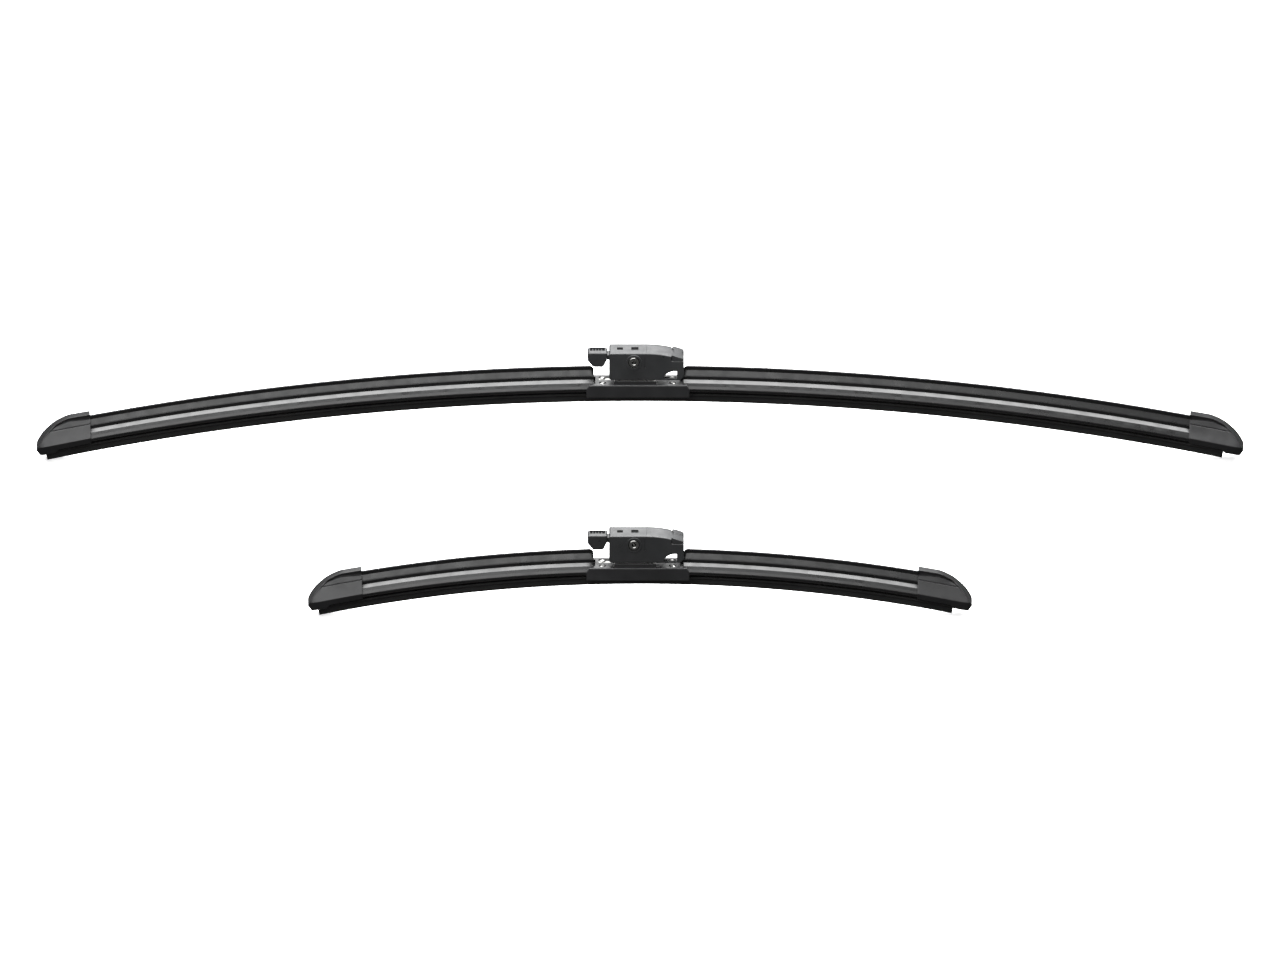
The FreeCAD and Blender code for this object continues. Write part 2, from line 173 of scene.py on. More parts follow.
def loft(name, rings):
    """A skin over rings of the same length, closed with a face at each end."""
    n, verts, faces = len(rings[0]), [], []
    for ring in rings:
        verts += ring
    for i in range(len(rings) - 1):
        a, b = i * n, (i + 1) * n
        faces += [(a + j, a + (j + 1) % n, b + (j + 1) % n, b + j) for j in range(n)]
    last = (len(rings) - 1) * n
    faces.append(tuple(range(n - 1, -1, -1)))
    faces.append(tuple(range(last, last + n)))
    obj = make(name, verts, faces)
    face_out(obj)
    return obj


def face_out(obj):
    bm = bmesh.new()
    bm.from_mesh(obj.data)
    bmesh.ops.recalc_face_normals(bm, faces=bm.faces)
    bm.to_mesh(obj.data)
    bm.free()


def edge_rings(d0, d1, r, seg=4):
    """(position, inset) pairs for a block from d0 to d1 with its end edges rounded by r."""
    if r <= 0:
        return [(d0, 0.0), (d1, 0.0)]
    # from (0, r) to (r, 0): distance in from the end, and inset of the outline there
    arc = [(r * (1 - math.cos(math.pi / 2 * i / seg)), r * (1 - math.sin(math.pi / 2 * i / seg)))
           for i in range(seg + 1)]
    return [(d0 + a, b) for a, b in arc] + [(d1 - a, b) for a, b in reversed(arc)]


def prism_y(name, outline, y0, y1, r=0.0, seg=4):
    """An (x, z) outline extruded along Y, with rounded end edges."""
    return loft(name, [[(x, y, z) for x, z in inset(outline, d)] for y, d in edge_rings(y0, y1, r, seg)])


def prism_x(name, outline, x0, x1, r=0.0, seg=4):
    return loft(name, [[(x, y, z) for y, z in inset(outline, d)] for x, d in edge_rings(x0, x1, r, seg)])


def prism_z(name, outline, z0, z1, r=0.0, seg=4):
    return loft(name, [[(x, y, z) for x, y in inset(outline, d)] for z, d in edge_rings(z0, z1, r, seg)])


def block(name, x0, x1, y0, y1, z0, z1, corner=0.5, r=0.25):
    """A box with rounded edges, extruded along Z."""
    return prism_z(name, fillet([(x0, y0), (x1, y0), (x1, y1), (x0, y1)], corner), z0, z1, r)


def turned(name, profile, centre, axis="y", seg=48):
    """A closed (distance along axis, radius) profile turned about an axis; radius 0 ends close it."""
    cx, cy, cz = centre
    verts, faces, rows = [], [], []
    for d, r in profile:
        if r <= 1e-9:
            rows.append([len(verts)])
            pts = [(0.0, 0.0)]
        else:
            rows.append(list(range(len(verts), len(verts) + seg)))
            turns = [2 * math.pi * i / seg for i in range(seg)]
            pts = [(r * math.cos(t), r * math.sin(t)) for t in turns]
        for a, b in pts:
            verts.append((cx + a, cy + d, cz + b) if axis == "y" else (cx + a, cy + b, cz + d))
    closed = profile[0][1] > 1e-9
    pairs = list(zip(rows, rows[1:])) + ([(rows[-1], rows[0])] if closed else [])
    for a, b in pairs:
        for i in range(seg):
            j = (i + 1) % seg
            if len(a) == 1:
                faces.append((a[0], b[j], b[i]))
            elif len(b) == 1:
                faces.append((a[i], a[j], b[0]))
            else:
                faces.append((a[i], a[j], b[j], b[i]))
    obj = make(name, verts, faces)
    face_out(obj)
    return obj


def pin(name, x, z, r, y0, y1, chamfer=0.25):
    """A round bar along Y, with chamfered ends unless chamfer is 0."""
    if chamfer <= 0:
        return turned(name, [(y0, 0), (y0, r), (y1, r), (y1, 0)], (x, 0, z))
    return turned(name, [(y0, 0), (y0, r - chamfer), (y0 + chamfer, r), (y1 - chamfer, r),
                         (y1, r - chamfer), (y1, 0)], (x, 0, z))


def combine(obj, others, operation):
    """Boolean with each of the others in turn; they are used up."""
    for other in others:
        mod = obj.modifiers.new("b", "BOOLEAN")
        mod.object, mod.operation, mod.solver = other, operation, "MANIFOLD"
        graph = bpy.context.evaluated_depsgraph_get()
        mesh = bpy.data.meshes.new_from_object(obj.evaluated_get(graph))
        obj.modifiers.clear()
        old, obj.data = obj.data, mesh
        bpy.data.meshes.remove(old)
        data = other.data
        bpy.data.objects.remove(other)
        bpy.data.meshes.remove(data)
    return obj


def cut(obj, *others):
    return combine(obj, others, "DIFFERENCE")


def join(obj, *others):
    return combine(obj, others, "UNION")


def fan_sides(obj, smallest):
    """Turns its large flat faces across Y into fans round their centres, which shade evenly."""
    bm = bmesh.new()
    bm.from_mesh(obj.data)
    bmesh.ops.dissolve_limit(bm, angle_limit=0.002, verts=bm.verts, edges=bm.edges)
    bmesh.ops.poke(bm, faces=[f for f in bm.faces if abs(f.normal.y) > 0.99 and f.calc_area() > smallest])
    bm.to_mesh(obj.data)
    bm.free()


def finish_piece(obj, blade, node, body, material, bevel=0.0, sharp=35):
    """Moves a piece to the part's frame and gives it its shading, material, body and CAD node."""
    obj.name = obj.data.name = blade.node(node)
    move = Vector((-SEAT_X, blade.y, blade.z - TOP_Z))
    obj.data.transform(Matrix.Scale(0.001, 4) @ Matrix.Translation(move))
    bm = bmesh.new()
    bm.from_mesh(obj.data)
    bmesh.ops.remove_doubles(bm, verts=bm.verts, dist=2e-6)
    bmesh.ops.dissolve_degenerate(bm, edges=bm.edges, dist=1e-6)
    bm.to_mesh(obj.data)
    bm.free()
    obj.data.polygons.foreach_set("use_smooth", [True] * len(obj.data.polygons))
    obj.data.set_sharp_from_angle(angle=math.radians(sharp))
    obj.data.materials.clear()
    obj.data.materials.append(material)
    if bevel:
        b = obj.modifiers.new("edges", "BEVEL")
        b.width, b.segments, b.limit_method = bevel * 0.001, 2, "ANGLE"
        b.angle_limit = math.radians(sharp)
    obj.modifiers.new("normals", "WEIGHTED_NORMAL").keep_sharp = True
    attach(obj, blade.node(body))
    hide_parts(blade.node(node))


# ---- materials ----------------------------------------------------------------------------------
CLOUD_SCALE, SMEAR_SCALE = 45.0, 160.0  # noise of colour and of roughness, per metre
ROUGH_VARIES = 0.08


def material(name, base, rough, metallic=0.0, specular=0.5, colour_varies=0.25, grain=None, streak=None):
    """A Principled material whose colour, roughness and bump vary by noise in object space.

    grain is (noise scale per metre, height in metres), and streak the same for lines along X.
    """
    m = bpy.data.materials.new(name)
    m.use_nodes = True
    nt = m.node_tree
    nodes, links = nt.nodes, nt.links
    p = nodes["Principled BSDF"]
    p.inputs["Metallic"].default_value = metallic
    p.inputs["Specular IOR Level"].default_value = specular
    coord = nodes.new("ShaderNodeTexCoord")

    def noise(scale, detail, stretch=None):
        n = nodes.new("ShaderNodeTexNoise")
        n.inputs["Scale"].default_value = scale
        n.inputs["Detail"].default_value = detail
        source = coord.outputs["Object"]
        if stretch:
            mp = nodes.new("ShaderNodeMapping")
            mp.inputs["Scale"].default_value = stretch
            links.new(source, mp.inputs["Vector"])
            source = mp.outputs["Vector"]
        links.new(source, n.inputs["Vector"])
        return n.outputs["Fac"]

    def ramp(fac, lo, hi, v0, v1):
        r = nodes.new("ShaderNodeMapRange")
        r.inputs["From Min"].default_value, r.inputs["From Max"].default_value = lo, hi
        r.inputs["To Min"].default_value, r.inputs["To Max"].default_value = v0, v1
        links.new(fac, r.inputs["Value"])
        return r.outputs["Result"]

    mix = nodes.new("ShaderNodeMix")
    mix.data_type = "RGBA"
    mix.inputs["A"].default_value = (*[c * (1 - colour_varies) for c in base], 1)
    mix.inputs["B"].default_value = (*[c * (1 + colour_varies) for c in base], 1)
    links.new(ramp(noise(CLOUD_SCALE, 4.0), 0.3, 0.7, 0.0, 1.0), mix.inputs["Factor"])
    links.new(mix.outputs["Result"], p.inputs["Base Color"])
    smear = ramp(noise(SMEAR_SCALE, 5.0), 0.3, 0.7, rough - ROUGH_VARIES, rough + ROUGH_VARIES)
    links.new(smear, p.inputs["Roughness"])
    bumps = []
    if grain:
        bumps.append((noise(grain[0], 2.0), grain[1]))
    if streak:
        bumps.append((noise(streak[0], 2.0, (0.02, 1.0, 1.0)), streak[1]))
    normal = None
    for height, distance in bumps:
        bump = nodes.new("ShaderNodeBump")
        bump.inputs["Strength"].default_value = 1.0
        bump.inputs["Distance"].default_value = distance
        links.new(height, bump.inputs["Height"])
        if normal:
            links.new(normal, bump.inputs["Normal"])
        normal = bump.outputs["Normal"]
    links.new(normal, p.inputs["Normal"])
    return m


SPOILER_MAT = material("spoiler elastomer", (0.005, 0.005, 0.0053), 0.32, specular=0.44,
                       grain=(2600, 0.00001), streak=(900, 0.000012))
RUBBER_MAT = material("wiper rubber", (0.018, 0.018, 0.018), 0.62, specular=0.3,
                      grain=(3000, 0.00003), streak=(700, 0.00004))
CAP_MAT = material("moulded plastic", (0.012, 0.012, 0.0125), 0.42, specular=0.4, grain=(2600, 0.000025))
BASE_MAT = material("base plastic", (0.020, 0.020, 0.021), 0.36, grain=(2200, 0.00005))
ADAPTER_MAT = material("adapter plastic", (0.028, 0.029, 0.030), 0.34, grain=(2400, 0.00004))
STEEL_MAT = material("plated steel", (0.50, 0.50, 0.485), 0.30, metallic=1.0, colour_varies=0.08,
                     grain=(1200, 0.00002))
PIVOT_MAT = material("rolled pivot", (0.32, 0.32, 0.31), 0.24, metallic=1.0, colour_varies=0.1,
                     grain=(1500, 0.00002))
RAIL_MAT = material("spring steel", (0.30, 0.30, 0.31), 0.32, metallic=1.0, colour_varies=0.12,
                    streak=(1500, 0.00002))


# ---- pieces along the arc -----------------------------------------------------------------------
FIN_FOOT_Z, FIN_END = 4.6, 3.2  # where the spoiler's fin starts, and the length of its rounded end


def arc_sweep(name, blade, outline, s0, s1, step=5.0, r=0.12, top=None):
    """An outline swept along the arc with softened ends. top(s) is the height its fin is lowered to."""
    n = max(2, int(math.ceil((s1 - s0) / step)))
    stations = [(s0, r), (s0 + r * 0.3, r * 0.3), (s0 + r, 0.0)]
    if top:
        stations += [(s0 + FIN_END * i / 10, 0.0) for i in range(1, 11)]
        stations += [(s1 - FIN_END * i / 10, 0.0) for i in range(10, 0, -1)]
    stations += [(s0 + (s1 - s0) * i / n, 0.0) for i in range(1, n)]
    stations += [(s1 - r, 0.0), (s1 - r * 0.3, r * 0.3), (s1, r)]
    seen, rings = None, []
    for s, d in sorted(stations):
        if seen is not None and s - seen < 0.02:
            continue
        seen = s
        pts = inset(outline, d)
        if top:
            k = (top(s) - FIN_FOOT_Z) / (max(z for _, z in outline) - FIN_FOOT_Z)
            pts = [(y, z if z < FIN_FOOT_Z else FIN_FOOT_Z + (z - FIN_FOOT_Z) * k) for y, z in pts]
        rings.append([blade.on_arc(s, y, z) for y, z in pts])
    return loft(name, rings)


# the outside of the spoiler's section, (y, z, corner radius), from the front claw over the bead to the rear
SPOILER_POINTS = [
    (-6.2, -1.6, 0.25), (-7.3, -0.8, 0.3), (-7.5, -0.2, 0.35), (-7.4, 0.5, 1.0), (-6.6, 1.75, 1.2),
    (-5.4, 3.15, 0.5), (-3.1, 4.5, 0.3), (-2.85, 4.3, 0.12), (-2.75, 3.7, 0.12), (-2.05, 3.7, 0.15),
    (-1.95, 5.8, 0.2), (-1.75, 6.4, 3.0), (-1.35, 7.3, 3.0), (-0.95, 8.2, 3.0), (-0.5, 9.15, 0.08),
    (-0.95, 9.3, 0.15), (-1.0, 11.15, 0.3), (-0.65, 11.5, 0.25), (-0.3, 11.5, 0.4), (1.3, 10.8, 1.2),
    (2.0, 9.6, 2.0), (2.6, 6.6, 3.0), (4.3, 3.7, 2.5), (6.5, 2.2, 2.0), (7.2, 1.2, 1.2), (7.5, 0.2, 0.35),
    (7.3, -0.4, 0.3), (6.2, -1.6, 0.25)]
GROOVE = (7, 8, 9)  # the points of the groove under the fin


def spoiler_opening(gap):
    """The hole a spoiler passes through, with its groove left filled."""
    return inset([(y, z) for i, (y, z, _) in enumerate(SPOILER_POINTS) if i not in GROOVE], -gap)


def spoiler_outline():
    """The spoiler's section: claws round the rails, shoulder, groove, hollow face and a bead on top."""
    inner = [(5.2, -1.6), (5.2, -0.55), (6.7, -0.55), (6.7, 0.5), (3.2, 0.5), (3.2, 2.0),
             (-3.2, 2.0), (-3.2, 0.5), (-6.7, 0.5), (-6.7, -0.55), (-5.2, -0.55), (-5.2, -1.6)]
    points = SPOILER_POINTS + [(y, z, 0.12) for y, z in inner]
    return fillet([(y, z) for y, z, _ in points], radii={i: r for i, (_, _, r) in enumerate(points)})


def rubber_outline():
    """The rubber's section: head over the rails, neck between them, body, hinge, shoulders and lip."""
    half = [(0.0, 1.45), (2.2, 1.45), (2.6, 1.15), (2.6, 0.5), (0.9, 0.5), (0.9, -0.5), (3.2, -0.5),
            (3.2, -1.9), (2.2, -3.2), (0.6, -3.2), (0.6, -4.0), (2.3, -4.0), (2.6, -4.3), (2.6, -5.1),
            (1.1, -5.9), (0.45, LIP_Z + 0.3), (0.3, LIP_Z)]
    pts = mirrored(half)
    return dense(fillet(pts, 0.15, {8: 0.4, 14: 1.0, len(pts) - 14: 1.0, len(pts) - 8: 0.4}, 3), 1.2)


def build_strips(b):
    rail_end = b.half - 7.0
    for side, word in ((-1, "front"), (1, "rear")):
        y0, y1 = sorted((side * 1.0, side * 6.6))
        pts = fillet([(y0, -0.45), (y1, -0.45), (y1, 0.45), (y0, 0.45)], 0.15, seg=3)
        obj = arc_sweep("rail", b, pts, -rail_end, rail_end, 6.0, 0.1)
        finish_piece(obj, b, "rail_" + word, "blade", RAIL_MAT)
    obj = arc_sweep("rubber", b, rubber_outline(), b.shift - b.half, b.shift + b.half, 5.0, 0.1)
    finish_piece(obj, b, "wiper_rubber", "blade", RUBBER_MAT)

    end, round_r = b.nose - CAP_L + 2.4, 2.5
    for side, word, start in ((-1, "left", 23.7), (1, "right", 24.9)):
        inner = side * start - BOW_X

        def top(s):
            past = round_r - min(round_r, abs(s - inner))
            return FIN_TOP_Z - (round_r - math.sqrt(round_r ** 2 - past ** 2))

        obj = arc_sweep("spoiler", b, spoiler_outline(), *sorted((inner, side * end)), 5.0, 0.12, top)
        finish_piece(obj, b, "spoiler_" + word, "blade", SPOILER_MAT)


# ---- end caps -----------------------------------------------------------------------------------
def smooth(points, steps):
    """More points along a soft curve through the given ones."""
    out = []
    for i in range(len(points) - 1):
        p0, p1, p2, p3 = (points[max(0, min(len(points) - 1, i + k))] for k in (-1, 0, 1, 2))
        for j in range(steps):
            t = j / steps
            out.append(tuple(0.5 * (2 * b + (c - a) * t + (2 * a - 5 * b + 4 * c - d) * t ** 2
                                    + (3 * b - a - 3 * c + d) * t ** 3)
                             for a, b, c, d in zip(p0, p1, p2, p3)))
    return out + [points[-1]]


def rounded(points, radii, seg=4):
    """A closed outline with softened corners and always the same number of points."""
    out = []
    for i, p in enumerate(points):
        p, a, b = Vector(p), Vector(points[i - 1]), Vector(points[(i + 1) % len(points)])
        u, v = a - p, b - p
        start = p + u * min(radii[i] / max(u.length, 1e-6), 0.45)
        end = p + v * min(radii[i] / max(v.length, 1e-6), 0.45)
        for j in range(seg + 1):
            t = j / seg
            out.append(tuple(start * (1 - t) ** 2 + p * 2 * t * (1 - t) + end * t ** 2))
    return out


def at(line, x):
    """Height of a polyline of (x, height) points."""
    for (x0, y0), (x1, y1) in zip(line, line[1:]):
        if x <= x1:
            return y0 + (y1 - y0) * (x - x0) / (x1 - x0)
    return line[-1][1]


CAP_LINE = smooth(CAP_TOP, 12)
# how far the cap's front and rear faces lean in from its width, (z, distance)
CAP_FRONT = [(-5.0, 0.8), (-2.2, 0.7), (1.0, 0.0), (4.2, 2.6), (7.2, 4.6), (7.3, 5.0), (7.7, 5.1),
             (7.8, 4.85), (9.6, 6.15), (20.0, 6.15)]
CREASES = (7.8, 7.7, 7.3, 7.2, 4.2)  # heights where the front's panels meet
CAP_BACK = [(-5.0, 0.8), (-2.2, 0.7), (1.2, 0.0), (11.6, 4.4), (20.0, 4.9)]


def cap_width(u):
    d = max(0.0, (u - (CAP_L - 6.0)) / 6.0)
    return CAP_W + 0.3 - 3.0 * (1 - math.sqrt(max(0.0, 1 - d * d)))


def cap_bottom(u):
    if u > CAP_L - 1.6:
        return CAP_LOW - 1.6 + (u - CAP_L + 1.6) / 1.6 * 2.6
    k = min(1.0, max(0.0, (u - (CAP_L - 11.8)) / 2.0))
    return CAP_LOW - 1.6 * k * k * (3 - 2 * k)


def cap_section(u):
    """A section of the cap: foot, two leaning panels, a recess under the lip of the top, and the rear."""
    top, low, w = at(CAP_LINE, u), cap_bottom(u), cap_width(u)
    k = min(1.0, (top - low) / 3)
    depth = max(0.03, BAND * (1 - u / 25.5)) * k
    lip = top - LIP * k
    foot = lip - depth
    line = [min(z, foot - (0.04 + 0.03 * i) * k) for i, z in enumerate(CREASES)]
    sill = min(1.0, line[-1] - 0.1 * k)

    def front(z):
        return (at(CAP_FRONT, z) - w, z)

    def back(z):
        return (w - at(CAP_BACK, z), z)

    floor_y = front(lip)[0] + 1.15 * min(1.0, depth / 0.8) * k
    pts = [front(low), (-w, sill)] + [front(z) for z in reversed(line)]
    pts += [front(foot), (floor_y, foot), (floor_y, lip), front(lip), front(top)]
    pts += [back(top), back(min(11.6, top - 0.2 * k)), (w, sill), back(low)]
    radii = [0.35, 0.25, 2.0, 0.12, 0.08, 0.08, 0.12, 0.2, 0.2, 0.1, 0.1, 0.22, 0.5, 0.6, 0.8, 0.35]
    return rounded(pts, radii)


def build_cap(b, side):
    past = b.nose - b.half - side * b.shift  # from the rubber's end to the nose

    def place(u, y, z, lean=0.0):
        """From the cap's own frame, u from its open end, to the end of the arc."""
        mid = CAP_L / 2
        a = (b.nose - mid) / b.r
        x0, z0 = u - mid - lean * (z - CAP_LOW) * max(0.0, 1 - u / 12), z + b.r
        x = BOW_X + x0 * math.cos(a) + z0 * math.sin(a)
        return (x if side > 0 else 2 * BOW_X - x, y, -x0 * math.sin(a) + z0 * math.cos(a) - b.r)

    stations = [0.0, 0.1, 0.3] + [0.7 + 0.7 * i for i in range(38)]
    stations += [27.0 + 0.2 * i for i in range(16)] + [30.15]
    rings = []
    for u in stations:
        soft = {0.0: 0.15, 0.1: 0.05}.get(u, 0.0)
        rings.append([place(u, y, z, 0.155) for y, z in inset(cap_section(u), soft)])
    obj = loft("cap", rings)
    # hollow for the spoiler's end, the rails and the rubber
    cutters = [prism_x("hollow", spoiler_opening(0.16), -4.0, 3.0),
               block("well", -4.0, CAP_L - past + 0.7, -3.5, 3.5, -6.0, 1.9, 0.4, 0.0),
               block("rails", -4.0, CAP_L - past - 6.2, -6.95, 6.95, -0.83, 0.81, 0.3, 0.0)]
    for cutter in cutters:
        for v in cutter.data.vertices:
            v.co = place(*v.co)
        face_out(cutter)
    cut(obj, *cutters)
    finish_piece(obj, b, "end_cap_" + ("left" if side < 0 else "right"), "blade",
                 CAP_MAT, sharp=32)


# ---- centre of the blade ------------------------------------------------------------------------
def build_base(b):
    side_view = fillet([(-BASE_X + 0.6, -4.5), (BASE_X - 0.2, -4.5), (BASE_X, 0.4), (BASE_X - 1.6, 2.75),
                        (-BASE_X + 2.2, 2.75), (-BASE_X + 0.6, 0.4)], 0.6, {2: 1.6, 5: 1.6})
    obj = prism_y("base", side_view, -BASE_Y, BASE_Y, 0.5)
    ear0, ear1 = EARS_X
    join(obj, *[block("wall", ear0 - 0.04, ear1 + 0.04, *sorted((s * 6.25, s * 7.1)), 2.3, 4.6, 0.1, 0.25)
                for s in (-1, 1)])
    room = 23.3
    cutters = [block("in", -room, room, -7.6, 7.6, -3.4, BASE_UNDER, 0.0, 0.0),
               block("slot", -room, room, -5.0, 5.0, -9, BASE_UNDER, 0.0, 0.0),
               block("ears", ear0, ear1, -6.25, 6.25, 0, 9, 0.5, 0.0),
               block("open", -room + 2.1, room - 2.1, 0.23, 5.87, 1.1, 8, 0.7, 0.0)]
    for x in (-RIVET_X, RIVET_X):
        for y in (-RIVET_Y, RIVET_Y):
            cutters.append(turned("hole", [(0, 0), (0, 1.95), (9, 1.95), (9, 0)], (x, y, 0), "z", 40))
    ends = spoiler_opening(0.18)
    for x0, x1 in ((-BASE_X - 1, -room + 0.4), (room - 0.4, BASE_X + 1)):
        drop = ((x0 + x1) / 2 - BOW_X) ** 2 / 2 / b.r
        cutters.append(prism_x("spoiler", [(y, z - drop) for y, z in ends], x0, x1))
        cutters.append(block("rubber", x0, x1, -5.0, 5.0, -9, 0, 0.0, 0.0))
        cutters.append(block("claws", x0, x1, -7.65, 7.65, -2.4, 0.6, 0.0, 0.0))
    cut(obj, *cutters)
    finish_piece(obj, b, "base_cover", "blade", BASE_MAT, bevel=0.12)


def build_holder(b):
    z0, z1 = 1.5, 2.2
    obj = block("plate", -23.0, 23.0, -6.0, 6.0, z0, z1, 0.8, 0.1)
    parts = []
    for side in (-1, 1):
        ear = [(-12.5, z0 + 0.2), (8.5, z0 + 0.2), (8.5, 4.2), (4.6, 9.6)]
        ear += [(PIVOT[0] + 3.0 * math.cos(t), PIVOT[1] + 3.0 * math.sin(t)) for t in
                (math.radians(-20 + 220 * i / 24) for i in range(25))]
        ear += [(-8.2, 9.6), (-12.5, 4.2)]
        parts.append(prism_y("ear", ear, *sorted((side * 5.2, side * 5.97)), 0.1, 2))
        for x0, x1 in ((-21.5, -11.5), (11.5, 21.5)):
            claw = [(4.9, z0 + 0.03), (4.9, z1 - 0.03), (6.9, z1 - 0.03), (7.5, 1.6), (7.5, -1.0),
                    (6.95, -1.55), (5.4, -1.55), (5.4, -0.8), (6.5, -0.8), (6.75, -0.5), (6.75, 1.2),
                    (6.4, z0 + 0.03)]
            parts.append(prism_x("claw", [(side * y, z) for y, z in claw], x0, x1, 0.1, 2))
    join(obj, *parts)
    cut(obj, pin("hole", *PIVOT, PIVOT_R, -9, 9, 0.0), block("slot", -9.5, 5.5, -3.6, 3.6, 0, 4, 1.0, 0.0))
    finish_piece(obj, b, "holder", "blade", STEEL_MAT, bevel=0.08)

    foot = BASE_UNDER
    dome = [(foot + 0.8 * math.sin(t), 1.65 * math.cos(t)) for t in
            (math.pi / 2 * i / 8 for i in range(7, 0, -1))]
    stem = [(foot + 0.1, 1.63), (foot, 1.5), (foot, 1.02), (1.45, 1.02), (1.45, 1.5), (0.5, 1.5),
            (0.5, 1.0), (-0.5, 1.0), (-0.5, 0.0)]
    for front_rear, y in (("front", -RIVET_Y), ("rear", RIVET_Y)):
        for left_right, x in (("left", -RIVET_X), ("right", RIVET_X)):
            rivet = turned("rivet", [(foot + 0.8, 0.0)] + dome + stem, (x, y, 0), "z", 32)
            name = "rivet_%s_%s" % (front_rear, left_right)
            finish_piece(rivet, b, name, "blade", STEEL_MAT)


def build_pivot(b):
    """The rolled tube through the ears and the housing, and the bush on it between the ears."""
    y = HOUSE_Y + 0.45
    roll = [(y - 0.62 + 0.62 * math.sin(t), 2.0 - 0.98 * math.cos(t)) for t in
            (math.radians(15 + 150 * i / 16) for i in range(17))]
    right = roll + [(y - 0.6, 3.0), (y - 0.75, 2.9), (y - 0.75, 2.2)]
    left = [(-d, r) for d, r in reversed(right)]
    obj = turned("tube", right + left, (PIVOT[0], 0, PIVOT[1]), "y", 64)
    finish_piece(obj, b, "pivot_rivet", "blade", PIVOT_MAT)
    w = 5.15
    bush = [(-w, PIVOT_R), (w, PIVOT_R), (w, 2.8), (w - 0.2, 3.0), (-w + 0.2, 3.0), (-w, 2.8)]
    obj = turned("bush", bush, (PIVOT[0], 0, PIVOT[1]), "y", 64)
    finish_piece(obj, b, "pivot_bush", "blade", BASE_MAT)


# ---- adapter ------------------------------------------------------------------------------------
def crown(x, drop=0.0):
    """Height of the roof at x, less drop."""
    run = max(0.0, x - ROOF_X1)
    return TOP_Z - (CROWN_R - math.sqrt(CROWN_R ** 2 - run ** 2)) - drop


def crown_line(x0, x1, drop=0.0, n=20):
    return [(x0 + (x1 - x0) * i / n, crown(x0 + (x1 - x0) * i / n, drop)) for i in range(n + 1)]


def build_housing(b):
    x0, x1, zb = HOUSE_X0, HOUSE_X1, 5.5
    rest = crown(GRIP_X, 2.7)
    low = [(x0, zb + 1.0), (x0 + 1.0, zb), (x1 - 2.0, zb), (x1, zb + 2.0), (x1, rest), (GRIP_X, rest)]
    pts = low + list(reversed(crown_line(ROOF_X1, GRIP_X))) + [(x0, TOP_Z)]
    radii = {0: 0.8, 1: 0.8, 2: 1.6, 3: 1.6, 4: 0.6, 5: 0.2, 6: 0.6, len(pts) - 1: 1.0}
    side_view = fillet(pts, 0.0, radii)
    side_view = [p for i, p in enumerate(side_view) if math.dist(p, side_view[i - 1]) > 1e-4]
    obj = prism_y("housing", side_view, -HOUSE_Y, HOUSE_Y, 0.55)
    yi = HOUSE_Y - WALL
    roof = TOP_Z - 1.8
    boss = [(7.0, 0), (7.0, 4.3), (8.35, 4.3), (8.5, 4.15), (8.5, 0)]
    join(obj, *[turned("boss", [(s * y, r) for y, r in boss], (PIVOT[0], 0, PIVOT[1]), "y", 64)
                for s in (-1, 1)])
    cutters = [block("in", x0 + 1.5, x1 + 2, -yi, yi, -2, roof, 0.3, 0.0),
               block("open", COVER_PIN[0] + 0.02, x1 + 3, 0.01 - yi, yi - 0.01, 1, TOP_Z + 1, 0.0, 0.0),
               pin("seam", *COVER_PIN, SEAM_R + 0.07, 0.02 - yi, yi - 0.02, 0.0),
               block("mouth", x0 - 1, x0 + 2, -3.9, 3.9, 13.9, roof, 0.0, 0.0),
               pin("bore", *PIVOT, PIVOT_R, -9, 9, 0.0),
               pin("pin", *COVER_PIN, COVER_PIN_R + 0.02, -7.3, 7.3, 0.0),
               pin("pin", *BUTTON_PIN, BUTTON_PIN_R + 0.02, -7.3, 7.3, 0.0)]
    groove = fillet([(3.7, 12.6), (4.5, 12.6), (4.5, 19.3), (3.7, 19.3)], 0.39, seg=4)
    for s in (-1, 1):
        cutters.append(pin("counterbore", *PIVOT, 3.22, *sorted((s * 7.7, s * 9.5)), 0.0))
        cutters.append(prism_y("groove", groove, *sorted((s * 7.55, s * 9.0))))
    arch = [(14.5, 6.5)] + [(21.5 - 7.0 * math.cos(t), 6.5 + 4.4 * math.sin(t)) for t in
                            (math.pi / 2 * i / 20 for i in range(1, 21))] + [(21.5, 6.5)]
    cutters.append(prism_y("window", arch, -9, 9))
    cutters.append(block("pocket", -11.1, -7.9, -2.0, 2.0, TOP_Z - 1.1, TOP_Z + 1, 0.5, 0.0))
    cutters.append(block("pocket", -3.4, 0.6, -2.5, 2.5, TOP_Z - 1.1, TOP_Z + 1, 0.6, 0.0))
    cut(obj, *cutters)
    finish_piece(obj, b, "adapter_housing", "adapter", ADAPTER_MAT, bevel=0.15)
    for n, axis, r in (("cover_pin", COVER_PIN, COVER_PIN_R), ("button_pin", BUTTON_PIN, BUTTON_PIN_R)):
        finish_piece(pin(n, *axis, r, -7.25, 7.25), b, n, "adapter", STEEL_MAT)


